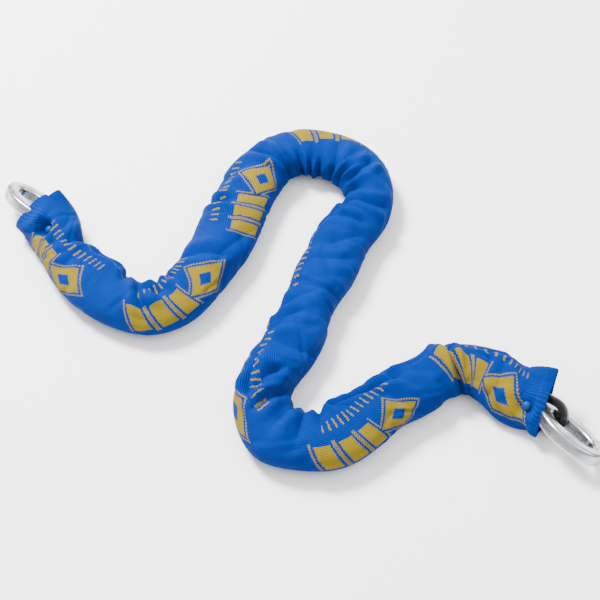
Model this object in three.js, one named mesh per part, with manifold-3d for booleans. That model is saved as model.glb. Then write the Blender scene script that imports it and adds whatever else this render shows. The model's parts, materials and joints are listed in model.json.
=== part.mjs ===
// Sleeved chain lock: a 6 mm square-bar security chain in a woven tube sleeve,
// with an oval lock ring hanging in each end link and a rivet holding the sleeve at each end.
// Millimetres, +Z up. The chain lies in loose bends on the ground, and the origin is at the
// middle of the lowest plane of the whole lock.
import * as THREE from 'three';
import { mergeVertices } from 'three/addons/utils/BufferGeometryUtils.js';
import Module from 'manifold-3d';

// ---------- driving dimensions ----------
const LINK_COUNT = 27;
const BAR = 6;                 // side of the rounded square bar of a link
const BAR_CHAMFER = 1.3;
const LINK_INNER_LENGTH = 37;
const LINK_INNER_WIDTH = 14;
const LINK_PLAY = 3.5;         // slack between two links of the chain as it lies
const LINK_TILT = 45;          // degrees, each link leans this far, its neighbour the other way
const END_LINK_TILT = 50;

const RING_LENGTH = 59;        // outside, along the chain
const RING_SLIMNESS = 0.644;   // outside width across the chain, as a share of the length
const RING_BAR = 10;           // width of the ring's bar seen from above
const RING_THICKNESS = 10;
const RING_CHAMFER = 2;
const RING_PLAY = 6;           // slack between an end link and its ring
const RING_LEAN = -35;         // degrees about the ring's long axis, its near side propped up
const RING_LIFT = 0.5;         // middle of the ring above the middle of the links

const SLEEVE_WIDTH = 40;
const SLEEVE_ROOM = 1;         // height of the sleeve over the outer width of a link
const SLEEVE_WALL = 1;
const SLEEVE_SIDES = 12;
const SLEEVE_GAP = 0.6;        // between two stretches of the sleeve on the centre line
const SLEEVE_FLANK = 25;       // degrees, the ends of a stretch fall back for a bend to either side
const MOUTH_REACH = 2;         // from the middle of the end link to the mouth's edge
const PINCH_ROOM = 8;          // from each face of the end link to the flat pulled in by the rivet
const PINCH_REACH = 9.5;       // from the middle of the end link back to where the flats start

const RIVET_SHAFT = 3;
const RIVET_HEAD = 6.6;
const RIVET_HEAD_HEIGHT = 1.8;
const RIVET_HOLE_CLEARANCE = 0.4;
const RIVET_OFFSET = 4;        // from the middle of the end link, away from the mouth
const CLEARANCE = 0.3;

// Where the chain lies: the first ring's heading and the bend at each joint, in whole degrees
// seen from above, counter-clockwise positive, from the left ring to the right ring.
const FIRST_HEADING = -46;
const BENDS = [
  -14, -5, 15, 34, 45, 35, 5, 2, -4, -26, -45, -40, -41, -36,
  8, 0, 5, -13, 9, 45, 45, 45, 24, -11, -29, -45, 1, -16,
];

// ---------- sizes that follow ----------
const linkReach = LINK_INNER_LENGTH / 2 + BAR / 2;          // middle of link to middle of its end bar
const linkRadius = LINK_INNER_WIDTH / 2 + BAR / 2;
const jointReach = linkReach - (BAR + LINK_PLAY) / 2;       // middle of link to the joint with the next
const ringReach = (RING_LENGTH - RING_BAR) / 2;             // middle of ring to its joint
const ringJointReach = linkReach - (BAR + RING_BAR) / 2 - RING_PLAY;  // end link's middle to ring joint
const ringWidth = RING_LENGTH * RING_SLIMNESS;
const sleeveHeight = LINK_INNER_WIDTH + 2 * BAR + SLEEVE_ROOM;
const pinchHeight = BAR + 2 * PINCH_ROOM;                   // across the two flats
const sleeveCentre = sleeveHeight / 2;

const wasm = await Module();
wasm.setup();

// ---------- finishes ----------
const finish = (color, metalness, roughness) => (
  new THREE.MeshStandardMaterial({ color, metalness, roughness }));
const chainSteel = () => finish(0x8d9094, 0.95, 0.38);
const ringZinc = () => finish(0xc9cdd0, 0.9, 0.3);
const sleeveWeave = () => finish(0x0b5cb8, 0, 0.85);
const rivetPaint = () => finish(0x0d4a9c, 0.2, 0.5);

// ---------- helpers ----------
const radians = THREE.MathUtils.degToRad;

/** A solid for cutting and joining, from any closed geometry. */
function solidOf(geometry) {
  const bare = geometry.clone();
  bare.deleteAttribute('normal');
  bare.deleteAttribute('uv');
  const merged = mergeVertices(bare, 1e-4);
  return new wasm.Manifold(new wasm.Mesh({
    numProp: 3,
    vertProperties: new Float32Array(merged.attributes.position.array),
    triVerts: new Uint32Array(merged.index.array),
  }));
}

/** Back from a solid to a geometry. */
function geometryOf(solid) {
  const { vertProperties, triVerts } = solid.getMesh();
  const geometry = new THREE.BufferGeometry();
  geometry.setAttribute('position', new THREE.BufferAttribute(vertProperties, 3));
  geometry.setIndex(new THREE.BufferAttribute(triVerts, 1));
  geometry.computeVertexNormals();
  return geometry;
}

/** An oval with a flat at each end of both axes, its flats just touching the true oval. */
function ovalPoints(width, height, sides) {
  const halfStep = Math.PI / sides;
  const reach = 0.5 / Math.cos(halfStep);
  return Array.from({ length: sides }, (_, i) => {
    const turn = (2 * i + 1) * halfStep;
    return new THREE.Vector2(width * reach * Math.cos(turn), height * reach * Math.sin(turn));
  });
}

/** A link: an eight-sided bar turned into a ring whose two halves are then drawn apart. */
function linkGeometry() {
  const crownSteps = 12;
  const halfStep = Math.PI / crownSteps;
  const half = BAR / 2;
  const flat = half - BAR_CHAMFER;
  const section = [
    [half, -flat], [half, flat], [flat, half], [-flat, half],
    [-half, flat], [-half, -flat], [-flat, -half], [flat, -half], [half, -flat],
  ];
  const centre = linkRadius / Math.cos(halfStep);
  const profile = section.map(([out, up]) => new THREE.Vector2(centre + out, up));
  const geometry = new THREE.LatheGeometry(profile, crownSteps, halfStep);
  geometry.rotateX(Math.PI / 2);
  const position = geometry.attributes.position;
  const drawApart = linkReach - linkRadius;
  for (let i = 0; i < position.count; i += 1) {
    position.setX(i, position.getX(i) + Math.sign(position.getX(i)) * drawApart);
  }
  return geometry;
}

/** An end ring: a flat oval with an oval hole and broken edges. */
function ringGeometry() {
  const steps = 24;
  const outline = new THREE.Shape(ovalPoints(
    RING_LENGTH - 2 * RING_CHAMFER, ringWidth - 2 * RING_CHAMFER, steps));
  const hole = ovalPoints(
    RING_LENGTH - 2 * RING_BAR + 2 * RING_CHAMFER, ringWidth - 2 * RING_BAR + 2 * RING_CHAMFER, steps);
  outline.holes.push(new THREE.Path(hole.reverse()));
  const geometry = new THREE.ExtrudeGeometry(outline, {
    depth: RING_THICKNESS - 2 * RING_CHAMFER,
    bevelThickness: RING_CHAMFER,
    bevelSize: RING_CHAMFER,
    bevelSegments: 1,
  });
  geometry.translate(0, 0, RING_CHAMFER - RING_THICKNESS / 2);
  return geometry;
}

/** A straight oval bar along X, from x0 to x1. */
function ovalBar(width, height, x0, x1) {
  const outline = new THREE.Shape(ovalPoints(width, height, SLEEVE_SIDES));
  const geometry = new THREE.ExtrudeGeometry(outline, { depth: x1 - x0, bevelEnabled: false });
  geometry.rotateX(Math.PI / 2).rotateZ(Math.PI / 2).translate(x0, 0, 0);
  return solidOf(geometry);
}

/** An upright block, wedge-shaped at its back end (edge at -back) and, if ahead is given, in front too. */
function wedgeBlock(back, ahead) {
  const side = SLEEVE_WIDTH / 2 + CLEARANCE;
  const fall = side * Math.tan(radians(SLEEVE_FLANK));
  const front = ahead === undefined ? [[SLEEVE_WIDTH, -side], [SLEEVE_WIDTH, side]]
    : [[ahead - fall, -side], [ahead, 0], [ahead - fall, side]];
  const corners = [[-back + fall, side], [-back, 0], [-back + fall, -side], ...front];
  const outline = new THREE.Shape(corners.map(([x, y]) => new THREE.Vector2(x, y)));
  const geometry = new THREE.ExtrudeGeometry(outline, { depth: 2 * side, bevelEnabled: false });
  geometry.translate(0, 0, -side);
  return solidOf(geometry);
}

/** The stretch of sleeve around one link between two others. */
function sleeveGeometry() {
  const reach = jointReach - SLEEVE_GAP / 2;
  const inside = 2 * SLEEVE_WALL;
  const tube = ovalBar(SLEEVE_WIDTH, sleeveHeight, -reach, reach).subtract(
    ovalBar(SLEEVE_WIDTH - inside, sleeveHeight - inside, -2 * reach, 2 * reach));
  return geometryOf(tube.intersect(wedgeBlock(reach, reach)));
}

/** An oval bar from x0 to x1 with two flats square to a leaning link, height apart, from -pinch on. */
function pinchedBar(width, barHeight, x0, x1, height, pinch, tilt) {
  let bar = ovalBar(width, barHeight, x0, x1);
  for (const side of [-1, 1]) {
    const cutter = new THREE.BoxGeometry(SLEEVE_WIDTH, 2 * SLEEVE_WIDTH, SLEEVE_WIDTH);
    cutter.translate(SLEEVE_WIDTH / 2 - pinch, 0, side * (height + SLEEVE_WIDTH) / 2);
    cutter.rotateX(radians(tilt));
    bar = bar.subtract(solidOf(cutter));
  }
  return bar;
}

/** The riveted end of the sleeve, with its mouth towards the ring at +X. */
function mouthGeometry(tilt) {
  const reach = jointReach - SLEEVE_GAP / 2;
  const inside = 2 * SLEEVE_WALL;
  const tube = pinchedBar(SLEEVE_WIDTH, sleeveHeight, -reach, MOUTH_REACH, pinchHeight, PINCH_REACH, tilt)
    .subtract(pinchedBar(SLEEVE_WIDTH - inside, sleeveHeight - inside, -2 * reach, 2 * MOUTH_REACH,
      pinchHeight - inside, PINCH_REACH + SLEEVE_WALL, tilt));
  const bore = RIVET_SHAFT / 2 + RIVET_HOLE_CLEARANCE;
  const drill = new THREE.CylinderGeometry(bore, bore, 2 * SLEEVE_WIDTH, 8);
  drill.rotateX(Math.PI / 2 + radians(tilt)).translate(-RIVET_OFFSET, 0, 0);
  return geometryOf(tube.intersect(wedgeBlock(reach)).subtract(solidOf(drill)));
}

/** The rivet: a shaft square to the end link with a domed head on each face of the sleeve. */
function rivetGeometry(tilt) {
  const seat = pinchHeight / 2 + CLEARANCE;
  const shaft = RIVET_SHAFT / 2;
  const head = RIVET_HEAD / 2;
  const dome = (side) => [1, 0.8, 0.45, 0].map((share) =>
    new THREE.Vector2(head * share, side * (seat + RIVET_HEAD_HEIGHT * Math.sqrt(1 - share * share))));
  const profile = [
    ...dome(-1).reverse(), new THREE.Vector2(shaft, -seat),
    new THREE.Vector2(shaft, seat), ...dome(1),
  ];
  const geometry = new THREE.LatheGeometry(profile, 12);
  geometry.rotateX(Math.PI / 2 + radians(tilt)).translate(-RIVET_OFFSET, 0, 0);
  return geometry;
}

// ---------- assembly ----------
const group = new THREE.Group();
const lying = new THREE.Group();
group.add(lying);

function add(parent, name, geometry, material) {
  const mesh = new THREE.Mesh(geometry, material);
  mesh.name = name;
  parent.add(mesh);
  return mesh;
}

/** A turned place on the ground for one link or ring. */
function placeAt(point, heading) {
  const place = new THREE.Group();
  place.position.set(point.x, point.y, sleeveCentre);
  place.rotation.z = radians(heading);
  lying.add(place);
  return place;
}

/** One end ring with its middle over its place and its near side propped up. */
function addRing(place, name) {
  const ring = add(place, name, ringShape, ringZinc());
  ring.position.z = RING_LIFT;
  ring.rotation.x = radians(RING_LEAN);
}

/** A riveted sleeve end and its rivet on an end link; turned about for the left end. */
function addEnd(place, sleeveName, rivetName, turned) {
  const tilt = turned ? -END_LINK_TILT : END_LINK_TILT;
  const pieces = [
    add(place, sleeveName, mouthGeometry(tilt), sleeveWeave()),
    add(place, rivetName, rivetGeometry(tilt), rivetPaint()),
  ];
  for (const piece of pieces) piece.rotation.z = turned ? Math.PI : 0;
}

const ringShape = ringGeometry();
const linkShape = linkGeometry();
const sleeveShape = sleeveGeometry();

const cursor = new THREE.Vector2(0, 0);
let heading = FIRST_HEADING;
const forward = (distance) => cursor.add(
  new THREE.Vector2(distance * Math.cos(radians(heading)), distance * Math.sin(radians(heading))));

addRing(placeAt(cursor, heading), 'end_ring_left');
forward(ringReach);

for (let i = 0; i < LINK_COUNT; i += 1) {
  const label = String(i + 1).padStart(2, '0');
  const first = i === 0;
  const last = i === LINK_COUNT - 1;
  heading += BENDS[i];
  forward(first ? ringJointReach : jointReach);
  const place = placeAt(cursor, heading);
  const lean = first || last ? END_LINK_TILT : LINK_TILT;
  add(place, `link_${label}`, linkShape, chainSteel()).rotation.x = radians(i % 2 === 0 ? lean : -lean);
  if (first || last) {
    addEnd(place, `sleeve_${label}`, first ? 'rivet_left' : 'rivet_right', first);
  } else {
    add(place, `sleeve_${label}`, sleeveShape, sleeveWeave());
  }
  forward(last ? ringJointReach : jointReach);
}

heading += BENDS[LINK_COUNT];
forward(ringReach);
addRing(placeAt(cursor, heading), 'end_ring_right');

// The origin goes to the middle of the box's underside.
group.updateMatrixWorld(true);
const box = new THREE.Box3().setFromObject(lying, true);
lying.position.set(-(box.min.x + box.max.x) / 2, -(box.min.y + box.max.y) / 2, -box.min.z);

export default group;
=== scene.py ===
"""Looks of the sleeved chain lock: one woven tube over the chain, forged links, oval rings and rivets.

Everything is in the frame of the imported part: metres, +Z up, the chain lying on the ground.
"""
import json  # noqa: E402
import logging  # noqa: E402
import math  # noqa: E402
from collections.abc import Callable  # noqa: E402
from dataclasses import dataclass, field  # noqa: E402
from enum import Enum  # noqa: E402

import bpy  # noqa: E402
import numpy as np  # noqa: E402
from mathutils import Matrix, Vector  # noqa: E402

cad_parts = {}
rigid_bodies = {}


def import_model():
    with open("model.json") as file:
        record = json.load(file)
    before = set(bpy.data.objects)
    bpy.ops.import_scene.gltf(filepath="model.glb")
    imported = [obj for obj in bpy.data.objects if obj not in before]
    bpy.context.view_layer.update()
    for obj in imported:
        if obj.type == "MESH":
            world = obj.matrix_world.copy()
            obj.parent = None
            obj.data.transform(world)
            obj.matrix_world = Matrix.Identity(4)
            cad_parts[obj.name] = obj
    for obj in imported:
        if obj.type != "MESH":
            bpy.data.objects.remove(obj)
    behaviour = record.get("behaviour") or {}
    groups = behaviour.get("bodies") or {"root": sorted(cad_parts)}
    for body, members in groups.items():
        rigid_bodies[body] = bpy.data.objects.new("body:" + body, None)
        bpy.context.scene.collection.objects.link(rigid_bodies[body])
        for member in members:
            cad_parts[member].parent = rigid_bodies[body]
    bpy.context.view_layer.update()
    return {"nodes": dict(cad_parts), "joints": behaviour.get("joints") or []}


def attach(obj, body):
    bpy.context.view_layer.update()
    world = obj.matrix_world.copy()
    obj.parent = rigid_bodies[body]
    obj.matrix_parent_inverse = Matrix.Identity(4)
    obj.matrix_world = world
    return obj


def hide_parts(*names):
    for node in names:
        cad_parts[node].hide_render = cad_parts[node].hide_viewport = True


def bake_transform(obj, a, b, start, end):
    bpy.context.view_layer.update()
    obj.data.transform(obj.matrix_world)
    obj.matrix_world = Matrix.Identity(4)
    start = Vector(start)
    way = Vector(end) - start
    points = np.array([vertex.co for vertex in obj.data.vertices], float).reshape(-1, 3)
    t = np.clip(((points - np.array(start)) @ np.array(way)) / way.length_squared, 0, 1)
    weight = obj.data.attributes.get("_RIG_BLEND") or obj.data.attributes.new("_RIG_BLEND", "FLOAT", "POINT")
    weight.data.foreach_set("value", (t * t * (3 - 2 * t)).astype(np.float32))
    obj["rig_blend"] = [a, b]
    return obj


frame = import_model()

log = logging.getLogger("chain_lock")
MM = 0.001
LINK_COUNT = 27
RING_SIZE_MM = (59.0, 38.0, 10.0, 10.0)  # length, width, bar across, thickness
LINK_SIZE_MM = (37.0, 14.0, 6.0)  # inner length, inner width, bar
RIVET_MM = (6.6, 2.4, 3.0, 22.6)  # head diameter, head height, shaft diameter, between the heads
TUBE_AROUND_MM = 112.0
REPEAT_MM = 108.0  # one repeat of the woven pattern
MOUTHS_MM = ((-192.6, 76.4), (186.6, -109.4))
MOUTH_LEAN_DEG = (34.0, 40.0)
MOUTH_HALF_MM = ((22.5, 8.0), (23.8, 8.0))
END_ZONE_MM = 38.0
HEM_MM = 9.0
SMALL_FOLDS = 230
CLOTH_GAP_MM = 0.6  # from the metal inside to the cloth
GROUND_GAP_MM = 0.35  # from the ground to the cloth
DIMPLE_MM = 6.0  # radius of the dimple at a rivet head
SWELL_MM = (10.5, 3.5, 1.3)  # radius, half width and height of the swell round a dimple
CLOTH_WALL_MM = 1.3  # from the outer face of the cloth to the layer turned in at a hem
# Evenly spaced along the sleeve from the left mouth to the right one.
OFFSET_MM = (
    0.0, -1.5, -8.0, -4.0, 3.2, 2.8, 0.4, -2.0, 0.0, 3.3, 0.6, -1.1, 0.3, 0.3, -0.1, -0.3,
    0.1, 0.4, -1.2, -0.4, -1.0, -1.0, 0.4, 0.1, -0.7, 0.3, 0.1, 0.3, -1.2, 0.0, 3.8, 3.9,
    3.9, 0.3, -5.5, -2.4, 3.6, 5.5, 3.5, -0.6, -3.0, 1.8, 0.8, 1.6, 1.0, 0.0,
)
HALF_WIDTH_MM = (
    21.5, 22.8, 17.0, 20.7, 25.4, 23.0, 21.1, 22.1, 21.8, 21.4, 21.9, 23.4, 24.7, 23.2, 22.4,
    23.5, 21.2, 21.3, 22.3, 21.2, 21.6, 19.5, 17.8, 21.5, 22.3, 21.8, 23.0, 20.1, 18.9, 22.4,
    21.7, 20.9, 20.5, 22.2, 23.4, 20.3, 26.2, 24.2, 20.4, 23.2, 22.2, 20.7, 19.8, 22.0, 23.0, 23.6,
)
HALF_HEIGHT_MM = 13.4
# Where the middle of the woven pattern sits around the tube: (along mm, around degrees).
PATTERN_TURN = (
    (0, 160), (55, 147), (91, 138), (134, 144), (163, 122), (188, 116), (231, 132), (255, 122),
    (308, 108), (336, 64), (360, 56), (380, 32), (430, -40), (470, -100), (511, -150), (560, -165),
    (615, -170), (645, -196), (672, -205), (721, -209), (774, -222), (800, -236), (828, -262),
    (845, -240), (909, -240),
)
# Middles of the pattern groups along the sleeve, in mm; the tube is more gathered where they are close.
PATTERN_MIDDLES = (58, 161, 270, 382, 511, 640, 748, 858)


@dataclass(frozen=True)
class Fold:
    """One crease in the sleeve.

    Args:
        along: middle of the crease from the left mouth, in mm.
        around: middle of the crease round the tube, in degrees from the left-hand side.
        turn: direction of the crease line, 0 along the sleeve and 90 round it, in degrees.
        length: length of the crease line, in mm.
        width: half the width of the valley, in mm.
        depth: depth of the valley, in mm; below zero for a ridge.
    """

    along: float
    around: float
    turn: float
    length: float
    width: float
    depth: float


FOLDS = (
    Fold(77, 30, -6, 62, 4.5, 5.7), Fold(48, 40, 80, 30, 5.0, 5.2), Fold(30, 60, 20, 26, 5.0, 2.7),
    Fold(66, 100, 60, 22, 4.5, 2.4), Fold(106, 26, 60, 26, 4.5, 4.8), Fold(132, 82, 62, 26, 3.6, 6.9),
    Fold(143, 74, 15, 20, 4.0, 5.4), Fold(150, 30, 75, 24, 4.0, 3.9), Fold(166, 48, 85, 20, 4.0, 3.3),
    Fold(203, 74, 70, 34, 5.0, 3.6), Fold(222, 120, 20, 44, 5.0, 2.1), Fold(262, 30, 80, 26, 4.0, 4.5),
    Fold(262, 66, 65, 16, 4.0, 3.0), Fold(293, 50, 30, 26, 5.0, 2.2), Fold(320, 116, 84, 44, 4.0, 6.9),
    Fold(334, 150, 70, 26, 3.6, 5.4), Fold(346, 172, 84, 34, 3.6, 7.8), Fold(358, 190, 96, 30, 3.4, 6.0),
    Fold(372, 200, 88, 36, 3.6, 8.4), Fold(386, 110, 60, 26, 4.5, 3.6), Fold(392, 185, 90, 30, 3.4, 6.0),
    Fold(408, 150, 80, 30, 3.6, 5.4), Fold(417, 108, 62, 32, 3.8, 5.7), Fold(434, 170, 92, 34, 3.6, 6.6),
    Fold(452, 84, 74, 34, 4.0, 5.7), Fold(462, 120, 100, 26, 3.8, 5.1), Fold(474, 96, 70, 26, 4.0, 3.3),
    Fold(496, 80, 40, 30, 5.0, 2.7), Fold(519, 92, 62, 34, 5.0, 3.0), Fold(548, 84, 84, 44, 5.5, 3.6),
    Fold(562, 110, 50, 30, 5.0, 2.7), Fold(586, 116, 34, 36, 4.5, 3.9), Fold(606, 70, 75, 34, 5.5, 3.0),
    Fold(642, 88, 22, 34, 5.6, 7.2), Fold(646, 112, -8, 58, 3.4, 3.9), Fold(664, 70, 66, 26, 4.2, 5.4),
    Fold(684, 50, 84, 30, 4.4, 3.2), Fold(700, 62, 78, 34, 5.4, 4.6), Fold(716, 24, 84, 26, 4.6, 3.0),
    Fold(735, 40, 40, 26, 4.0, 5.1), Fold(762, 46, 10, 74, 3.4, 5.7), Fold(778, 110, 75, 26, 5.0, 2.4),
    Fold(792, 74, 66, 26, 4.2, 3.0), Fold(812, 110, 60, 30, 5.0, 2.1), Fold(858, 84, 70, 30, 4.6, 2.7),
    Fold(872, 100, 50, 22, 4.5, 2.4), Fold(880, 150, 20, 24, 4.5, 2.4),
    Fold(826, 112, 84, 66, 5.0, -3.6), Fold(834, 112, 84, 62, 2.6, 6.0),
)


class Outline(Enum):
    """Outlines of the metal pieces inside the sleeve: the power of the oval that holds each one."""

    LINK = 4.0
    RING = 2.0


# ---------------------------------------------------------------- shader graph
class Socket:
    """A shader output with arithmetic.

    Args:
        graph: the graph that the socket belongs to.
        output: the node socket that gives the value.
    """

    def __init__(self, graph: "Graph", output: bpy.types.NodeSocket) -> None:
        self.graph = graph
        self.output = output

    def __add__(self, other: "Socket | float") -> "Socket":
        return self.graph.math("ADD", self, other)

    def __radd__(self, other: float) -> "Socket":
        return self.graph.math("ADD", other, self)

    def __sub__(self, other: "Socket | float") -> "Socket":
        return self.graph.math("SUBTRACT", self, other)

    def __rsub__(self, other: float) -> "Socket":
        return self.graph.math("SUBTRACT", other, self)

    def __mul__(self, other: "Socket | float") -> "Socket":
        return self.graph.math("MULTIPLY", self, other)

    def __rmul__(self, other: float) -> "Socket":
        return self.graph.math("MULTIPLY", other, self)

    def __truediv__(self, other: "Socket | float") -> "Socket":
        return self.graph.math("DIVIDE", self, other)

    def __rtruediv__(self, other: float) -> "Socket":
        return self.graph.math("DIVIDE", other, self)

    def __abs__(self) -> "Socket":
        return self.graph.math("ABSOLUTE", self)

    def below(self, limit: "Socket | float") -> "Socket":
        """1 where the value is under the limit, else 0.

        Args:
            limit: the limit.

        Returns:
            The mask.
        """
        return self.graph.math("LESS_THAN", self, limit)

    def floor(self) -> "Socket":
        """The whole number below the value.

        Returns:
            That number.
        """
        return self.graph.math("FLOOR", self)

    def wrapped(self, low: float, high: float) -> "Socket":
        """The value brought into one period.

        Args:
            low: start of the period.
            high: end of the period.

        Returns:
            The wrapped value.
        """
        return self.graph.math("WRAP", self, high, low)

    def low(self, other: "Socket | float") -> "Socket":
        """The smaller of two values.

        Args:
            other: the other value.

        Returns:
            The smaller one.
        """
        return self.graph.math("MINIMUM", self, other)

    def high(self, other: "Socket | float") -> "Socket":
        """The larger of two values.

        Args:
            other: the other value.

        Returns:
            The larger one.
        """
        return self.graph.math("MAXIMUM", self, other)

    def sine(self) -> "Socket":
        """The sine of the value in radians.

        Returns:
            The sine.
        """
        return self.graph.math("SINE", self)


class Graph:
    """A material's node tree.

    Args:
        name: the material's name.
    """

    def __init__(self, name: str) -> None:
        self.material = bpy.data.materials.new(name)
        self.material.use_nodes = True
        self.tree = self.material.node_tree
        self.shader = self.tree.nodes["Principled BSDF"]

    def make(self, kind: str, inputs: dict | None = None, **settings: object) -> bpy.types.Node:
        """Makes any node.

        Args:
            kind: the node's type name.
            inputs: values or sockets for its inputs, by name or index.
            **settings: the node's own properties.

        Returns:
            The node.
        """
        node = self.tree.nodes.new(kind)
        for key, value in settings.items():
            setattr(node, key, value)
        for key, value in (inputs or {}).items():
            self.feed(node.inputs[key], value)
        return node

    def feed(self, target: bpy.types.NodeSocket, value: "Socket | float | tuple") -> None:
        """Links or sets an input.

        Args:
            target: the input.
            value: a socket to link, or a value to set.
        """
        if isinstance(value, Socket):
            self.tree.links.new(value.output, target)
        else:
            target.default_value = value

    def math(self, operation: str, *values: "Socket | float") -> Socket:
        """A Math node.

        Args:
            operation: its operation.
            *values: its inputs in order.

        Returns:
            Its output.
        """
        node = self.make("ShaderNodeMath", dict(enumerate(values)), operation=operation)
        return Socket(self, node.outputs[0])

    def mix(self, share: "Socket | float", low: tuple | Socket, high: tuple | Socket) -> Socket:
        """A colour mix.

        Args:
            share: how much of the second colour.
            low: the first colour.
            high: the second colour.

        Returns:
            The mixed colour.
        """
        node = self.make("ShaderNodeMix", data_type="RGBA")
        for index, value in ((0, share), (6, low), (7, high)):
            self.feed(node.inputs[index], value)
        return Socket(self, node.outputs[2])

    def noise(self, place: Socket, scale: float, detail: float = 3.0, rough: float = 0.5) -> Socket:
        """Soft noise from 0 to 1.

        Args:
            place: the coordinates.
            scale: cells in a unit of the coordinates.
            detail: octaves.
            rough: strength of the finer octaves.

        Returns:
            The noise value.
        """
        node = self.make(
            "ShaderNodeTexNoise", {"Vector": place, "Scale": scale, "Detail": detail, "Roughness": rough})
        return Socket(self, node.outputs["Fac"])

    def stretched(self, place: Socket, scale: tuple) -> Socket:
        """Coordinates scaled on each axis.

        Args:
            place: the coordinates.
            scale: the three factors.

        Returns:
            The scaled coordinates.
        """
        node = self.make(
            "ShaderNodeVectorMath", {0: place, 1: scale}, operation="MULTIPLY")
        return Socket(self, node.outputs[0])

    def bump(self, height: Socket, distance: float, strength: float) -> None:
        """Sets the normal from a height.

        Args:
            height: the height value.
            distance: metres for a height of 1.
            strength: 0 to 1.
        """
        node = self.make(
            "ShaderNodeBump", {"Height": height, "Distance": distance, "Strength": strength})
        self.tree.links.new(node.outputs[0], self.shader.inputs["Normal"])

    def attribute(self, name: str) -> tuple[Socket, Socket, Socket]:
        """The three parts of a vector attribute of the mesh.

        Args:
            name: the attribute.

        Returns:
            Its x, y and z.
        """
        node = self.make("ShaderNodeAttribute", attribute_name=name)
        split = self.make("ShaderNodeSeparateXYZ", {0: Socket(self, node.outputs["Vector"])})
        return tuple(Socket(self, out) for out in split.outputs)

    def object_place(self) -> Socket:
        """Object coordinates in metres.

        Returns:
            The coordinates.
        """
        return Socket(self, self.make("ShaderNodeTexCoord").outputs["Object"])

    def constants(self, **values: object) -> None:
        """Sets constant shader inputs.

        Args:
            **values: input names with underscores for spaces.
        """
        for key, value in values.items():
            self.shader.inputs[key.replace("_", " ")].default_value = value


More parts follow.
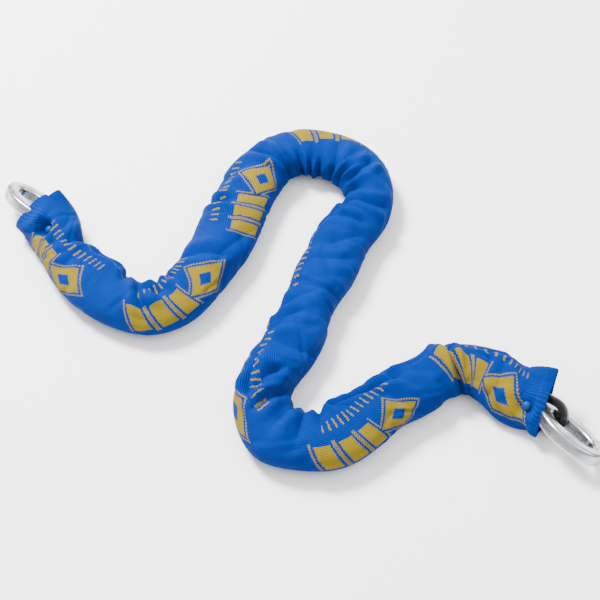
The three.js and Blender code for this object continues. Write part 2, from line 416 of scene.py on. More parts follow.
# ---------------------------------------------------------------- finishes
@dataclass(frozen=True)
class WovenFinish:
    """The sleeve's ribbed weave with a woven yellow pattern.

    Args:
        blue: ground colour.
        rib_shade_navy: painted shade, darker stripes that follow the ribs and rows; also the dark end of the
            random tint.
        yellow: colour of the pattern threads.
        shaded_yellow: painted shade on the pattern threads, darker stripes that follow the rows.
    """

    blue: tuple = (0.0, 0.029, 0.215, 1)
    rib_shade_navy: tuple = (0.0, 0.008, 0.085, 1)
    yellow: tuple = (0.20, 0.145, 0.010, 1)
    shaded_yellow: tuple = (0.12, 0.082, 0.005, 1)

    def block(self, x: Socket, y: Socket, at: tuple, half: tuple, slant: float) -> Socket:
        """Distance outside a slanted bar, in mm.

        Args:
            x: place along the sleeve.
            y: place round it.
            at: the bar's middle.
            half: half its length and half its height.
            slant: sideways shift for each mm of height.

        Returns:
            The distance, below zero inside.
        """
        dy = y - at[1]
        dx = x - at[0] - dy * slant
        return (abs(dx) - half[0]).high(abs(dy) - half[1])

    def lozenge(self, x: Socket, y: Socket, at: tuple, half: tuple) -> Socket:
        """Distance outside a diamond, in mm.

        Args:
            x: place along the sleeve.
            y: place round it.
            at: the diamond's middle.
            half: half its length and half its height.

        Returns:
            The distance, below zero inside.
        """
        return (abs(x - at[0]) / half[0] + abs(y - at[1]) / half[1] - 1.0) * min(half) * 0.8

    def emblem(self, x: Socket, y: Socket) -> Socket:
        """The mask of one big pattern group with its fine outline.

        Args:
            x: place along the sleeve from the group's middle, in mm.
            y: place round it from the group's middle, in mm.

        Returns:
            1 on the yellow threads.
        """
        shapes = [
            self.block(x, y, (-29, 0), (4.4, 10.0), 0.32),
            self.block(x, y, (-15, 0), (4.4, 10.0), 0.32),
            self.block(x, y, (-1, 0), (4.4, 10.0), 0.32),
            self.lozenge(x, y, (21, 0), (16, 12.5)),
        ]
        whole = shapes[0]
        for shape in shapes[1:]:
            whole = whole.low(shape)
        hole = self.lozenge(x, y, (21, 0), (6.5, 5.0))
        fill = whole.below(0.0) * (1.0 - hole.below(0.0))
        return fill.high(abs(whole - 2.0).below(0.45))

    def small_row(self, x: Socket, y: Socket) -> Socket:
        """The mask of the row of small marks beside a group.

        Args:
            x: place along the sleeve from the row's middle, in mm.
            y: place round it from the row's middle, in mm.

        Returns:
            1 on the yellow threads.
        """
        near = x.wrapped(-2.6, 2.6)
        bar = self.block(near, y, (0, 0), (0.62, 2.7), 0.32)
        marks = bar.below(0.0)
        return marks * abs(x).below(32.0)

    def build(self) -> bpy.types.Material:
        """Makes the material.

        Returns:
            The material.
        """
        g = Graph("woven_sleeve")
        along, around, hem = g.attribute("weave_mm")
        # A thread is one pattern step: the pattern follows whole threads.
        row, rib = 0.70, 1.05
        x = (along / row).floor() * row
        y = (around / rib).floor() * rib
        fine = (g.noise(g.stretched(Socket(g, g.make("ShaderNodeAttribute", attribute_name="weave_mm")
                                           .outputs["Vector"]), (0.45, 1.6, 0.0)), 1.0) - 0.5) * 1.6
        u = x.wrapped(-REPEAT_MM / 2, REPEAT_MM / 2)
        v = y.wrapped(-TUBE_AROUND_MM / 2, TUBE_AROUND_MM / 2)
        mask = self.emblem(u + fine, v).high(self.small_row(u, v + 19.5))
        mask = mask * (1.0 - hem)
        rib_wave = (around * (2 * math.pi / rib)).sine()
        row_wave = (along * (2 * math.pi / row)).sine()
        height = rib_wave * 0.5 + row_wave * 0.35 + mask * 0.9
        tint = g.noise(g.object_place(), 60.0, 4.0)
        # Painted shade: the ground blue goes darker in stripes that follow the rib and row waves; the tint
        # noise adds random tone.
        shade = (rib_wave * 0.5 + 0.5) * 0.40 + (row_wave * 0.5 + 0.5) * 0.12 + tint * 0.30
        ground = g.mix(shade, self.blue, self.rib_shade_navy)
        # Painted shade: the yellow pattern threads go darker in stripes that follow the row wave.
        thread = g.mix((row_wave * 0.5 + 0.5) * 0.45, self.yellow, self.shaded_yellow)
        stitch_row = abs(hem - 0.5).below(0.12) * (along * (2 * math.pi / 2.6)).sine().below(0.4)
        colour = g.mix(mask, ground, thread)
        g.feed(g.shader.inputs["Base Color"], g.mix(stitch_row * 0.35, colour, (0.0, 0.07, 0.34, 1)))
        g.feed(g.shader.inputs["Roughness"], tint * 0.15 + 0.52)
        g.constants(Specular_IOR_Level=0.03, Sheen_Weight=0.02, Sheen_Roughness=0.4,
                    Sheen_Tint=(0.0, 0.3, 1.0, 1))
        g.bump(height, 0.00035, 0.8)
        return g.material


@dataclass(frozen=True)
class ZincFinish:
    """Bright zinc plate with drawing streaks and a weld seam.

    Args:
        light: colour of the clean plate.
        dull: colour of the streaks.
    """

    light: tuple = (0.50, 0.52, 0.54, 1)
    dull: tuple = (0.07, 0.075, 0.08, 1)

    def build(self) -> bpy.types.Material:
        """Makes the material.

        Returns:
            The material.
        """
        g = Graph("ring_zinc")
        along, across, weld = g.attribute("metal_mm")
        vector = Socket(g, g.make("ShaderNodeAttribute", attribute_name="metal_mm").outputs["Vector"])
        streak = g.noise(g.stretched(vector, (0.06, 1.9, 0.0)), 1.0, 5.0, 0.6)
        cloud = g.noise(g.object_place(), 140.0, 4.0)
        dull = ((streak - 0.47) * 4.0 + (cloud - 0.5) * 0.9).high(0.0).low(1.0)
        colour = g.mix(dull, self.light, self.dull)
        g.feed(g.shader.inputs["Base Color"], g.mix(weld * 0.45, colour, (0.30, 0.31, 0.32, 1)))
        g.feed(g.shader.inputs["Roughness"], streak * 0.22 + cloud * 0.14 + weld * 0.2 + 0.06)
        g.constants(Metallic=1.0)
        g.bump(streak * 0.6 + cloud * 0.5 + weld * g.noise(vector, 1.2, 4.0) * 2.0, 0.00025, 0.5)
        return g.material


@dataclass(frozen=True)
class SteelFinish:
    """Hardened dark chain steel.

    Args:
        light: worn edges.
        dark: the bar's faces.
    """

    light: tuple = (0.13, 0.135, 0.14, 1)
    dark: tuple = (0.03, 0.03, 0.033, 1)

    def build(self) -> bpy.types.Material:
        """Makes the material.

        Returns:
            The material.
        """
        g = Graph("chain_steel")
        place = g.object_place()
        cloud = g.noise(place, 220.0, 5.0, 0.6)
        patch = g.noise(place, 45.0, 2.0)
        wear = ((cloud - 0.45) * 1.6 + (patch - 0.5)).high(0.0).low(1.0)
        g.feed(g.shader.inputs["Base Color"], g.mix(wear, self.dark, self.light))
        g.feed(g.shader.inputs["Roughness"], cloud * 0.25 + 0.2)
        g.constants(Metallic=1.0)
        g.bump(cloud, 0.0002, 0.5)
        return g.material


@dataclass(frozen=True)
class LacquerFinish:
    """Blue lacquer of the rivet heads.

    Args:
        blue: the lacquer.
        worn: rubbed lacquer.
    """

    blue: tuple = (0.0, 0.03, 0.16, 1)
    worn: tuple = (0.0, 0.045, 0.22, 1)

    def build(self) -> bpy.types.Material:
        """Makes the material.

        Returns:
            The material.
        """
        g = Graph("rivet_paint")
        cloud = g.noise(g.object_place(), 700.0, 4.0)
        g.feed(g.shader.inputs["Base Color"], g.mix(cloud, self.blue, self.worn))
        g.feed(g.shader.inputs["Roughness"], cloud * 0.2 + 0.28)
        g.constants(Specular_IOR_Level=0.12)
        g.bump(cloud, 0.0001, 0.4)
        return g.material


# ---------------------------------------------------------------- surfaces
@dataclass(frozen=True)
class Placement:
    """Where a solid lies: its middle and its own three axes.

    Args:
        centre: the middle, in metres.
        axes: the longest, middle and shortest axis as rows.
    """

    centre: np.ndarray
    axes: np.ndarray

    @classmethod
    def of(cls, node: str) -> "Placement":
        """Reads a CAD node's middle and its principal axes.

        Args:
            node: the node's name.

        Returns:
            The placement.
        """
        mesh = frame["nodes"][node].data
        points = np.empty(len(mesh.vertices) * 3)
        mesh.vertices.foreach_get("co", points)
        points = np.unique(points.reshape(-1, 3).round(7), axis=0)
        middle = (points.min(0) + points.max(0)) / 2
        axes = np.linalg.svd(points - points.mean(0), full_matrices=False)[2]
        for _ in range(2):
            local = (points - middle) @ axes.T
            middle = middle + ((local.min(0) + local.max(0)) / 2) @ axes
        axes[2] = np.cross(axes[0], axes[1])
        return cls(middle, axes)

    def place(self, points: np.ndarray) -> np.ndarray:
        """Moves points in mm from the solid's own axes into the frame.

        Args:
            points: rows of x, y, z in mm.

        Returns:
            Rows in metres.
        """
        return self.centre + points * MM @ self.axes


@dataclass
class GridSurface:
    """A mesh of rows and columns of points.

    Args:
        name: the object's name.
        points: (rows, columns, 3) in metres.
        material: its material.
        closed_rows: the last row joins the first.
        closed_columns: the last column joins the first.
        caps: close the first and last row with a fan of faces.
        attributes: vector attributes, each (rows, columns, 3).
        normals: (rows, columns, 3) normals to keep, if any.
        period: the second part of an attribute comes round after this much; 0 if it does not.
    """

    name: str
    points: np.ndarray
    material: bpy.types.Material
    closed_rows: bool = False
    closed_columns: bool = True
    caps: bool = False
    attributes: dict = field(default_factory=dict)
    normals: np.ndarray | None = None
    period: float = 0.0

    def build(self) -> bpy.types.Object:
        """Makes the object with smooth faces.

        Returns:
            The object, at the origin and linked to the scene.
        """
        rows, columns = self.points.shape[:2]
        index = np.arange(rows * columns).reshape(rows, columns)
        down = np.roll(index, -1, 0) if self.closed_rows else index[1:]
        across = np.roll(index, -1, 1)
        top = index if self.closed_rows else index[:-1]
        top_next = across if self.closed_rows else across[:-1]
        down_next = np.roll(across, -1, 0) if self.closed_rows else across[1:]
        quads = np.stack([top, top_next, down_next, down], -1)
        if not self.closed_columns:
            quads = quads[:, :-1]
        faces = quads.reshape(-1, 4).tolist()
        if self.caps:
            faces += [index[0][::-1].tolist(), index[-1].tolist()]
        mesh = bpy.data.meshes.new(self.name)
        mesh.from_pydata(self.points.reshape(-1, 3).tolist(), [], faces)
        mesh.materials.append(self.material)
        for key, values in self.attributes.items():
            if self.period:
                values = values.reshape(-1, 3)[np.array(faces)]
                turns = np.round((values[:, :1, 1] - values[..., 1]) / self.period)
                values[..., 1] += turns * self.period
            made = mesh.attributes.new(key, "FLOAT_VECTOR", "CORNER" if self.period else "POINT")
            made.data.foreach_set("vector", values.astype(np.float32).ravel())
        mesh.shade_smooth()
        if self.normals is not None:
            mesh.normals_split_custom_set_from_vertices(self.normals.reshape(-1, 3).tolist())
        made = bpy.data.objects.new(self.name, mesh)
        bpy.context.scene.collection.objects.link(made)
        return made


def rounded_box(half_width: float, half_height: float, radius: float, steps: int) -> np.ndarray:
    """A rectangle with round corners: each corner is a quarter circle of the radius.

    Args:
        half_width: half the width.
        half_height: half the height.
        radius: corner radius.
        steps: points on each corner.

    Returns:
        Rows of two numbers, counter-clockwise.
    """
    turn = np.linspace(0, np.pi / 2, steps)
    corner = np.stack([np.cos(turn), np.sin(turn)], -1) * radius
    centre = np.array([half_width - radius, half_height - radius])
    quarters = []
    for sx, sy, back in ((1, 1, False), (-1, 1, True), (-1, -1, False), (1, -1, True)):
        quarter = (corner + centre) * (sx, sy)
        quarters.append(quarter[::-1] if back else quarter)
    return np.concatenate(quarters)


@dataclass
class Ring:
    """An end ring: an oval bar of nearly square section.

    Args:
        node: the CAD node it stands for.
        body: the body it rides on.
        finish: its material.
        weld_turn: where round the oval its weld is, in radians.
    """

    node: str
    body: str
    finish: bpy.types.Material
    weld_turn: float

    def build(self) -> bpy.types.Object:
        """Between an inner and an outer ellipse, a rounded section is carried round.

        Returns:
            The ring.
        """
        length, width, bar, thick = RING_SIZE_MM
        turn = np.linspace(0, 2 * np.pi, 193)[:-1][:, None]
        section = rounded_box(bar / 2, thick / 2, 2.1, 9)
        share = section[:, 0][None] / bar + 0.5
        weld = np.exp(-(np.angle(np.exp(1j * (turn - self.weld_turn))) / 0.07) ** 2)
        swell = 1 + 0.035 * weld
        x = (length / 2 - bar * (1 - share)) * np.cos(turn)
        y = (width / 2 - bar * (1 - share)) * np.sin(turn)
        z = section[:, 1][None] * swell
        points = np.stack(np.broadcast_arrays(x, y, z), -1)
        along = np.broadcast_to(turn * (length + width) / 4, x.shape)
        side = np.broadcast_to(np.linspace(0, 36, len(section))[None], x.shape)
        facts = np.stack([along, side, np.broadcast_to(weld, x.shape)], -1)
        place = Placement.of(self.node)
        made = GridSurface(
            f"{self.node}_zinc", place.place(points), self.finish, closed_rows=True,
            attributes={"metal_mm": facts}).build()
        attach(made, self.body)
        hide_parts(self.node)
        log.info("ring %s", made.name)
        return made


@dataclass
class Link:
    """A chain link of rounded square bar.

    Args:
        number: its place in the chain, from 1.
        finish: its material.
    """

    number: int
    finish: bpy.types.Material

    def build(self) -> bpy.types.Object:
        """A rounded square section carried round a circle whose halves are drawn apart.

        Returns:
            The link.
        """
        inner_length, inner_width, bar = LINK_SIZE_MM
        radius = (inner_width + bar) / 2
        drawn = (inner_length - inner_width) / 2
        quarter = np.linspace(-np.pi / 2, np.pi / 2, 33)
        straight = np.linspace(-1, 1, 9)[1:-1]
        turn = np.concatenate([quarter, np.full(7, np.pi / 2), quarter + np.pi, np.full(7, -np.pi / 2)])
        shift = np.concatenate([np.ones(33), -straight, -np.ones(33), straight]) * drawn
        section = rounded_box(bar / 2, bar / 2, 1.6, 7)
        reach = radius + section[:, 0][None]
        x = shift[:, None] + reach * np.cos(turn)[:, None]
        y = reach * np.sin(turn)[:, None]
        z = np.broadcast_to(section[:, 1][None], x.shape)
        node = f"link_{self.number:02d}"
        points = Placement.of(node).place(np.stack([x, y, z], -1))
        made = GridSurface(f"{node}_steel", points, self.finish, closed_rows=True).build()
        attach(made, f"stretch_{self.number:02d}")
        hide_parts(node)
        return made


@dataclass
class Rivet:
    """A rivet through a mouth of the sleeve with a domed head on each side.

    Args:
        node: the CAD node it stands for.
        body: the body it rides on.
        finish: its material.
    """

    node: str
    body: str
    finish: bpy.types.Material

    def build(self) -> bpy.types.Object:
        """A profile of shaft, flat seat, rim and dome, turned about the rivet's axis.

        Returns:
            The rivet.
        """
        head, rise, shaft, between = RIVET_MM
        dome = np.linspace(0, np.pi / 2, 14)
        side = np.stack([head / 2 * np.cos(dome), between / 2 + 0.35 + rise * np.sin(dome)], -1)
        side[-1, 0] = 0.01
        half = np.concatenate([[[shaft / 2, between / 2 - 0.3], [head / 2 - 0.2, between / 2]], side])
        profile = np.concatenate([half[::-1] * (1, -1), half])
        turn = np.linspace(0, 2 * np.pi, 49)[:-1]
        across = profile[:, 0][:, None]
        points = np.stack(np.broadcast_arrays(
            profile[:, 1][:, None], across * np.cos(turn), across * np.sin(turn)), -1)
        place = Placement.of(self.node)
        made = GridSurface(f"{self.node}_head", place.place(points), self.finish, caps=True).build()
        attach(made, self.body)
        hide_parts(self.node)
        log.info("rivet %s", made.name)
        return made


# ---------------------------------------------------------------- sleeve
class Route:
    """The middle line of the sleeve along the chain, as a smooth curve through its joints."""

    def __init__(self) -> None:
        joints = {
            tuple(sorted((j["parent"], j["child"]))): np.array(j["pos_m"][:2]) / MM
            for j in frame["joints"] if j["name"].startswith("bend")
        }
        bends = [joints[(f"stretch_{i:02d}", f"stretch_{i + 1:02d}")] for i in range(1, LINK_COUNT)]
        ends = [np.array(p) for p in MOUTHS_MM]
        knots = np.array([ends[0], (ends[0] + bends[0]) / 2, *bends, (ends[1] + bends[-1]) / 2, ends[1]])
        self.bends = np.array(bends)
        chord = np.r_[0, np.cumsum(np.hypot(*np.diff(knots, axis=0).T))]
        dense = self._spline(chord, knots, np.linspace(0, chord[-1], 6000))
        self._line = dense
        self._at = np.r_[0, np.cumsum(np.hypot(*np.diff(dense, axis=0).T))]
        self.length = float(self._at[-1])

    @staticmethod
    def _spline(at: np.ndarray, knots: np.ndarray, wanted: np.ndarray) -> np.ndarray:
        """A natural cubic curve through knots: its second derivatives solve a banded system.

        Args:
            at: the knots' parameters.
            knots: rows of x and y.
            wanted: the parameters to evaluate.

        Returns:
            Rows of x and y.
        """
        n = len(at)
        step = np.diff(at)
        system, right = np.eye(n), np.zeros((n, 2))
        for i in range(1, n - 1):
            system[i, i - 1:i + 2] = step[i - 1], 2 * (step[i - 1] + step[i]), step[i]
            right[i] = 6 * ((knots[i + 1] - knots[i]) / step[i] - (knots[i] - knots[i - 1]) / step[i - 1])
        bend = np.linalg.solve(system, right)
        i = np.clip(np.searchsorted(at, wanted) - 1, 0, n - 2)
        a = ((at[i + 1] - wanted) / step[i])[:, None]
        b = 1 - a
        return a * knots[i] + b * knots[i + 1] + (
            (a**3 - a) * bend[i] + (b**3 - b) * bend[i + 1]) * step[i][:, None] ** 2 / 6

    def at(self, along: np.ndarray) -> tuple[np.ndarray, np.ndarray]:
        """Points and left-hand directions.

        Args:
            along: distances from the left mouth, in mm.

        Returns:
            Rows of x, y and rows of the level direction to the left.
        """
        points = np.stack([np.interp(along, self._at, self._line[:, k]) for k in range(2)], -1)
        ahead = np.stack([np.interp(along + 1.5, self._at, self._line[:, k]) for k in range(2)], -1)
        behind = np.stack([np.interp(along - 1.5, self._at, self._line[:, k]) for k in range(2)], -1)
        way = ahead - behind
        way /= np.linalg.norm(way, axis=1, keepdims=True)
        return points, np.stack([-way[:, 1], way[:, 0]], -1)

    def nearest(self, point: np.ndarray) -> float:
        """Distance along the route of the place nearest to a point.

        Args:
            point: x and y in mm.

        Returns:
            The distance from the left mouth.
        """
        return float(self._at[np.argmin(np.hypot(*(self._line - point).T))])


@dataclass
class Sleeve:
    """The woven tube over the whole chain, one sheet cut into stretches that bend at the joints.

    Args:
        route: the middle line.
        finish: its material.
        rows: rows along the sleeve.
        columns: points round it.
    """

    route: Route
    finish: bpy.types.Material
    rows: int = 961
    columns: int = 128

    def section(self, along: np.ndarray) -> tuple[np.ndarray, ...]:
        """Half width, half height, sideways shift and lean of the cross-section.

        Args:
            along: distances from the left mouth, in mm.

        Returns:
            The four sizes at each distance.
        """
        table = np.linspace(0, self.route.length, len(OFFSET_MM))
        wide = np.interp(along, table, HALF_WIDTH_MM)
        shift = np.interp(along, table, OFFSET_MM)
        smooth = np.hanning(25)
        smooth /= smooth.sum()
        pad = len(smooth) // 2
        wide, shift = (np.convolve(np.pad(v, pad, mode="edge"), smooth, "valid") for v in (wide, shift))
        high = np.full_like(wide, HALF_HEIGHT_MM)
        lean = np.zeros_like(wide)
        from_end = (along, self.route.length - along)
        for distance, (half, thick), tilt in zip(from_end, MOUTH_HALF_MM, MOUTH_LEAN_DEG):
            near = np.clip(1 - distance / END_ZONE_MM, 0, 1)
            near = near * near * (3 - 2 * near)
            wide += (half - wide) * near
            high += (thick - high) * near
            shift *= 1 - near
            lean += math.radians(tilt) * near
        return wide, high, shift, lean

    def creases(self, along: np.ndarray, turn: np.ndarray) -> np.ndarray:
        """Sum of all folds: a valley with a soft ridge on both sides, faded at its ends.

        Args:
            along: distances, (rows, 1) in mm.
            turn: places round the tube, (1, columns) in degrees.

        Returns:
            Height above the plain tube, in mm.
        """
        total = np.zeros(np.broadcast_shapes(along.shape, turn.shape))
        rng = np.random.default_rng(27)
        small = np.stack([
            rng.uniform(15, self.route.length - 15, SMALL_FOLDS),
            rng.uniform(-20, 200, SMALL_FOLDS),
            rng.choice([0, 90, 60, -60, 30, -30], SMALL_FOLDS) + rng.normal(0, 14, SMALL_FOLDS),
            rng.uniform(12, 34, SMALL_FOLDS), rng.uniform(1.6, 3.2, SMALL_FOLDS),
            rng.uniform(0.4, 1.3, SMALL_FOLDS)], -1)
        for fold in [*FOLDS, *(Fold(*row) for row in small)]:
            dx = along - fold.along
            dy = ((turn - fold.around + 180) % 360 - 180) * TUBE_AROUND_MM / 360
            c, s = math.cos(math.radians(fold.turn)), math.sin(math.radians(fold.turn))
            u, v = dx * c + dy * s, -dx * s + dy * c
            v = v + 0.06 * u * np.sin(u / 9.0 + fold.along)
            fade = np.exp(-((2 * u / fold.length) ** 4))
            valley = np.exp(-np.sqrt(v * v + 0.25) / fold.width * 1.5)
            ridge = 0.42 * np.exp(-(((np.abs(v) - 1.9 * fold.width) / fold.width) ** 2))
            total += fold.depth * fade * (ridge - valley)
        return total

    def surface(self, rows: int, columns: int) -> tuple[np.ndarray, ...]:
        """The tube: a level oval section carried along the route, leaning at the mouths, with folds.

        Args:
            rows: rows along the sleeve.
            columns: points round it.

        Returns:
            Points in mm (rows, columns, 3), the middle of each row, distances and turns in degrees.
        """
        along = np.linspace(0, self.route.length, rows)
        turn = np.linspace(0, 360, columns, endpoint=False)
        wide, high, shift, lean = self.section(along)
        middle, left = self.route.at(along)
        level = np.concatenate([left, np.zeros((len(along), 1))], 1)
        up = np.array([0.0, 0.0, 1.0])
        across = np.cos(lean)[:, None] * level + np.sin(lean)[:, None] * up
        above = -np.sin(lean)[:, None] * level + np.cos(lean)[:, None] * up
        lift = np.sqrt((wide * np.sin(lean)) ** 2 + (high * np.cos(lean)) ** 2) + GROUND_GAP_MM
        centre = np.concatenate([middle + shift[:, None] * left, lift[:, None]], 1)
        t = np.radians(turn)[None]
        power = 0.9
        cos = np.sign(np.cos(t)) * np.abs(np.cos(t)) ** power
        sin = np.sign(np.sin(t)) * np.abs(np.sin(t)) ** power
        flank = np.stack([np.cos(t) / wide[:, None], np.sin(t) / high[:, None]], -1)
        flank /= np.linalg.norm(flank, axis=-1, keepdims=True)
        rise = self.creases(along[:, None], turn[None])
        bulge = 0.7 * np.cos(2 * np.pi * (along[:, None] - 20) / 33.5) * np.sin(t) ** 2
        rise = (rise + bulge) * np.clip(np.sin(t) * 1.6 + 1.2, 0.1, 1)
        end = np.minimum(along, self.route.length - along)[:, None]
        wave = np.exp(-((end / 16) ** 2)) * (np.sin(3 * t + 0.6) + 0.6 * np.sin(5 * t + 2.0))
        rise = rise * np.clip(end / 14, 0.25, 1) + wave * 0.9
        x = wide[:, None] * cos + rise * flank[..., 0]
        y = high[:, None] * sin + rise * flank[..., 1]
        points = centre[:, None] + x[..., None] * across[:, None] + y[..., None] * above[:, None]
        return points, centre, along, turn

    def cleared(self, points: np.ndarray, centre: np.ndarray) -> np.ndarray:
        """Pushes the cloth out of the metal inside it, along the ray from the row's middle.

        Args:
            points: the tube's points in mm.
            centre: the middle of each row in mm.

        Returns:
            Points that lie outside every link and ring, and above the ground.
        """
        rays = points - centre[:, None]
        share = np.ones(points.shape[:2])
        length, width, bar = LINK_SIZE_MM
        link_half = np.array([length / 2 + bar, width / 2 + bar, bar / 2]) + CLOTH_GAP_MM
        ring_half = np.array([RING_SIZE_MM[0], RING_SIZE_MM[1], RING_SIZE_MM[3]]) / 2 + CLOTH_GAP_MM
        solids = [(f"link_{i:02d}", link_half, Outline.LINK) for i in range(1, LINK_COUNT + 1)]
        solids += [(f"end_ring_{side}", ring_half, Outline.RING) for side in ("left", "right")]
        trial = np.linspace(0.8, 1.5, 101)
        for node, half, outline in solids:
            place = Placement.of(node)
            middle = place.centre / MM
            rows = np.flatnonzero(np.linalg.norm(centre - middle, axis=1) < half[0] + 24)
            if not len(rows):
                continue
            start = (centre[rows] - middle) @ place.axes.T
            way = rays[rows] @ place.axes.T
            spot = np.abs(start[:, None, None] + way[:, :, None] * trial[:, None]) / half
            power = outline.value
            within = (spot[..., 0] ** power + spot[..., 1] ** power < 1) & (spot[..., 2] < 1)
            last = np.where(within, trial, 0.0).max(-1)
            share[rows] = np.maximum(share[rows], last)
        step = round(6 * len(points) / self.rows)
        share = self.spread(self.spread(share, step, np.max), step, np.mean)
        points = centre[:, None] + rays * share[..., None]
        points[..., 2] = np.maximum(points[..., 2], GROUND_GAP_MM)
        return points

    def eased(self, points: np.ndarray) -> np.ndarray:
        """Rounds the sharp crests where rows crowd together on the inside of a bend.

        Args:
            points: the tube's points in mm.

        Returns:
            The points with crowded ones drawn to the mean of their neighbours along the sleeve.
        """
        middle = points.mean(1)
        rays = points - middle[:, None]
        reach = 5
        tall = np.pad(rays, ((reach, reach), (0, 0), (0, 0)), mode="edge")
        mean = np.mean([tall[k:k + len(rays)] for k in range(2 * reach + 1)], axis=0)
        run = np.linalg.norm(np.gradient(mean + middle[:, None], axis=0), axis=-1)
        share = np.clip(1.15 - run / (self.route.length / self.rows), 0, 0.8) / 0.8
        return points + (mean - rays) * self.spread(share, 3, np.mean)[..., None]

    @staticmethod
    def dimpled(points: np.ndarray) -> np.ndarray:
        """Draws the cloth down to each rivet head, with a soft swell round the dimple.

        Args:
            points: the tube's points in mm.

        Returns:
            The points with both dimples of both rivets.
        """
        for node in ("rivet_left", "rivet_right"):
            place = Placement.of(node)
            local = (points - place.centre / MM) @ place.axes.T
            height, reach = local[..., 0], np.linalg.norm(local[..., 1:], axis=-1)
            side = np.sign(height)
            near = np.exp(-((reach / DIMPLE_MM) ** 4)) * (np.abs(height) < 20)
            radius, wide, rise = SWELL_MM
            swell = rise * np.exp(-(((reach - radius) / wide) ** 2)) * (np.abs(height) < 20)
            move = near * (side * (RIVET_MM[3] / 2 - 0.9) - height) + side * swell
            points = points + move[..., None] * place.axes[0]
        return points

    @staticmethod
    def spread(values: np.ndarray, step: int, rule: Callable) -> np.ndarray:
        """Gives each point the largest or mean value of its neighbours.

        Args:
            values: (rows, columns), closed round its columns.
            step: how many rows and columns away a neighbour may be.
            rule: how the neighbours are put together.

        Returns:
            The new values.
        """
        rows = len(values)
        tall = np.pad(values, ((step, step), (0, 0)), mode="edge")
        values = rule([tall[k:k + rows] for k in range(2 * step + 1)], axis=0)
        return rule([np.roll(values, k, 1) for k in range(-step, step + 1)], axis=0)

    def hemmed(self, points: np.ndarray, last: bool) -> tuple[np.ndarray, np.ndarray]:
        """Rows of the folded hem at a mouth: out to a round edge and back inside the tube.

        Args:
            points: the whole tube.
            last: the right mouth, not the left one.

        Returns:
            The hem's rows from the outer edge inwards, and how far inside each lies in mm.
        """
        ordered = points[::-1] if last else points
        edge = ordered[0]
        way = (edge - ordered[6]).mean(0)
        way /= np.linalg.norm(way)
        inward = edge.mean(0) - edge
        inward /= np.linalg.norm(inward, axis=1, keepdims=True)
        rows, depth = [], []
        for angle in np.linspace(0, np.pi, 7)[1:]:
            rows.append(edge + way * 0.6 * math.sin(angle) + inward * 0.6 * (1 - math.cos(angle)))
            depth.append(0.0)
        for number in range(2, 24, 2):
            row = ordered[number]
            inward = row.mean(0) - row
            rows.append(row + inward / np.linalg.norm(inward, axis=1, keepdims=True) * CLOTH_WALL_MM)
            depth.append(number * self.route.length / (self.rows - 1))
        return np.array(rows), np.array(depth)

    def build(self) -> list[bpy.types.Object]:
        """Makes every stretch of the sleeve.

        Returns:
            The stretches from left to right.
        """
        points, centre, along, turn = self.surface(self.rows, self.columns)
        points = self.cleared(self.cleared(points, centre), centre)
        points = self.eased(self.dimpled(points))
        points[..., 2] = np.maximum(points[..., 2], GROUND_GAP_MM)
        extra_left, depth_left = self.hemmed(points, False)
        extra_right, depth_right = self.hemmed(points, True)
        whole = np.concatenate([extra_left[::-1], points, extra_right])
        distance = np.concatenate([depth_left[::-1], along, self.route.length - depth_right])
        near = np.minimum(along, self.route.length - along)
        stitched = np.where(near < HEM_MM, 0.5 * np.exp(-((near - 7) / 0.8) ** 2), 0)
        inside = np.concatenate([np.ones(len(depth_left)), stitched, np.ones(len(depth_right))])
        steps = np.diff(np.concatenate([whole, whole[:, :1]], 1), axis=1)
        down = np.gradient(whole, axis=0)
        normal = np.cross(np.roll(steps, 1, 1) + steps, down)
        normal /= np.maximum(np.linalg.norm(normal, axis=-1, keepdims=True), 1e-9)
        key = np.array(PATTERN_TURN, float)
        pattern = np.interp(distance, key[:, 0], key[:, 1])
        around = ((turn[None] - pattern[:, None] + 180) % 360 - 180) * TUBE_AROUND_MM / 360
        woven = np.interp(distance, PATTERN_MIDDLES, np.arange(len(PATTERN_MIDDLES)) * REPEAT_MM)
        ends = np.array([PATTERN_MIDDLES[0], PATTERN_MIDDLES[-1]], float)
        woven += np.minimum(distance - ends[0], 0) + np.maximum(distance - ends[1], 0)
        facts = np.stack(np.broadcast_arrays(woven[:, None], around, inside[:, None]), -1)
        first = len(depth_left)
        stops = [self.route.nearest(p) for p in self.route.bends]
        middles = [(a + b) / 2 for a, b in zip(stops, stops[1:])]
        middles = [stops[0] - 16.75, *middles, stops[-1] + 16.75]
        cuts = [0, *(first + int(np.argmin(np.abs(along - m))) for m in middles), len(whole) - 1]
        return [self.stretch(i, whole, facts, normal, cuts) for i in range(len(cuts) - 1)]

    def stretch(self, index: int, whole: np.ndarray, facts: np.ndarray, normal: np.ndarray,
                cuts: list[int]) -> bpy.types.Object:
        """One stretch between two rows of the tube, riding on one body or bending between two.

        Args:
            index: its place from the left, from 0.
            whole: all points in mm.
            facts: the weave coordinates.
            normal: the surface normals.
            cuts: the rows where stretches meet.

        Returns:
            The stretch.
        """
        part = slice(cuts[index], cuts[index + 1] + 1)
        made = GridSurface(
            f"sleeve_part_{index:02d}", whole[part] * MM, self.finish,
            attributes={"weave_mm": facts[part]}, normals=normal[part], period=TUBE_AROUND_MM).build()
        bodies = (f"stretch_{max(index, 1):02d}", f"stretch_{min(index + 1, LINK_COUNT):02d}")
        if bodies[0] == bodies[1]:
            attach(made, bodies[0])
        else:
            bend = self.route.bends[index - 1]
            at = self.route.nearest(bend)
            points, _ = self.route.at(np.array([at - 9.0, at + 9.0]))
            start, end = ((*p, HALF_HEIGHT_MM) for p in points)
            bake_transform(made, *bodies, start=np.array(start) * MM, end=np.array(end) * MM)
        if index:
            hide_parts(f"sleeve_{index:02d}")
        return made


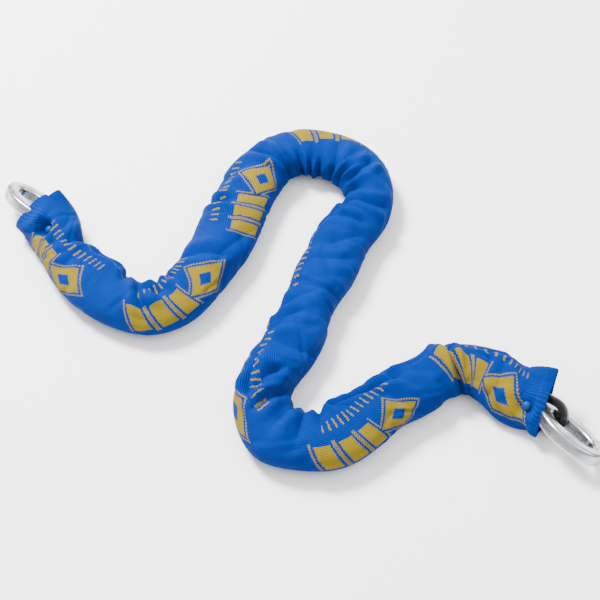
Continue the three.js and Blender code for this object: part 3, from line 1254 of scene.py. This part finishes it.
# ---------------------------------------------------------------- stage
@dataclass(frozen=True)
class Studio:
    """Pale floor, soft lamps and the camera.

    Args:
        target: what the camera looks at, in metres.
        distance: how far it stands, in metres.
        elevation: its height above the horizon, in degrees.
        view: its angle of view, in degrees.
    """

    target: tuple = (0.01067, -0.01169, 0.013)
    distance: float = 1.2177
    elevation: float = 50.0
    view: float = 20.95

    def lamp(self, name: str, place: tuple, size: float, power: float) -> None:
        """One square area lamp aimed at the object.

        Args:
            name: its name.
            place: where it stands, in metres.
            size: its side, in metres.
            power: its power in watts.
        """
        data = bpy.data.lights.new(name, "AREA")
        data.size, data.energy = size, power
        lamp = bpy.data.objects.new(name, data)
        lamp.location = place
        lamp.rotation_euler = (Vector(self.target) - Vector(place)).to_track_quat("-Z", "Y").to_euler()
        bpy.context.scene.collection.objects.link(lamp)

    def world(self) -> None:
        """A white room that is darker towards the horizon, so that bare metal shows contrast."""
        world = bpy.data.worlds.new("studio")
        world.use_nodes = True
        tree = world.node_tree
        back = tree.nodes["Background"]
        place = tree.nodes.new("ShaderNodeTexCoord")
        split = tree.nodes.new("ShaderNodeSeparateXYZ")
        ramp = tree.nodes.new("ShaderNodeMapRange")
        ramp.inputs["From Min"].default_value = 0.05
        ramp.inputs["From Max"].default_value = 0.75
        ramp.inputs["To Min"].default_value = 0.04
        ramp.inputs["To Max"].default_value = 2.2
        tree.links.new(place.outputs["Generated"], split.inputs[0])
        tree.links.new(split.outputs["Z"], ramp.inputs["Value"])
        tree.links.new(ramp.outputs["Result"], back.inputs["Strength"])
        back.inputs["Color"].default_value = (1.0, 1.0, 1.0, 1.0)
        bpy.context.scene.world = world

    def build(self) -> None:
        """Makes floor, lamps, world and camera."""
        g = Graph("floor")
        g.constants(Base_Color=(0.92, 0.92, 0.92, 1), Roughness=0.9, Specular_IOR_Level=0.2)
        corners = np.array([[[-4, -4, 0], [-4, 4, 0]], [[4, -4, 0], [4, 4, 0]]], float)
        floor = GridSurface("floor", corners[:, ::-1], g.material, closed_columns=False).build()
        self.lamp("key", (-0.75, 0.75, 1.35), 0.5, 120.0)
        self.lamp("fill", (1.0, -0.7, 1.5), 1.3, 14.0)
        self.world()
        data = bpy.data.cameras.new("camera")
        data.angle = math.radians(self.view)
        data.clip_start, data.clip_end = 0.01, 50.0
        camera = bpy.data.objects.new("camera", data)
        tilt = math.radians(self.elevation)
        back = Vector((0.0, -math.cos(tilt), math.sin(tilt)))
        camera.location = Vector(self.target) + back * self.distance
        camera.rotation_euler = (math.pi / 2 - tilt, 0.0, 0.0)
        bpy.context.scene.collection.objects.link(camera)
        bpy.context.scene.camera = camera


def main() -> None:
    """Builds the object and its stage in order."""
    logging.basicConfig(level=logging.INFO, format="%(message)s")
    steel = SteelFinish().build()
    zinc = ZincFinish().build()
    paint = LacquerFinish().build()
    weave = WovenFinish().build()
    for number in range(1, LINK_COUNT + 1):
        Link(number, steel).build()
    log.info("links %d", LINK_COUNT)
    Ring("end_ring_left", "ring_left", zinc, 2.2).build()
    Ring("end_ring_right", "ring_right", zinc, 0.9).build()
    Rivet("rivet_left", "stretch_01", paint).build()
    Rivet("rivet_right", "stretch_27", paint).build()
    parts = Sleeve(Route(), weave).build()
    log.info("sleeve stretches %d", len(parts))
    Studio().build()


if __name__ == "__main__":
    main()
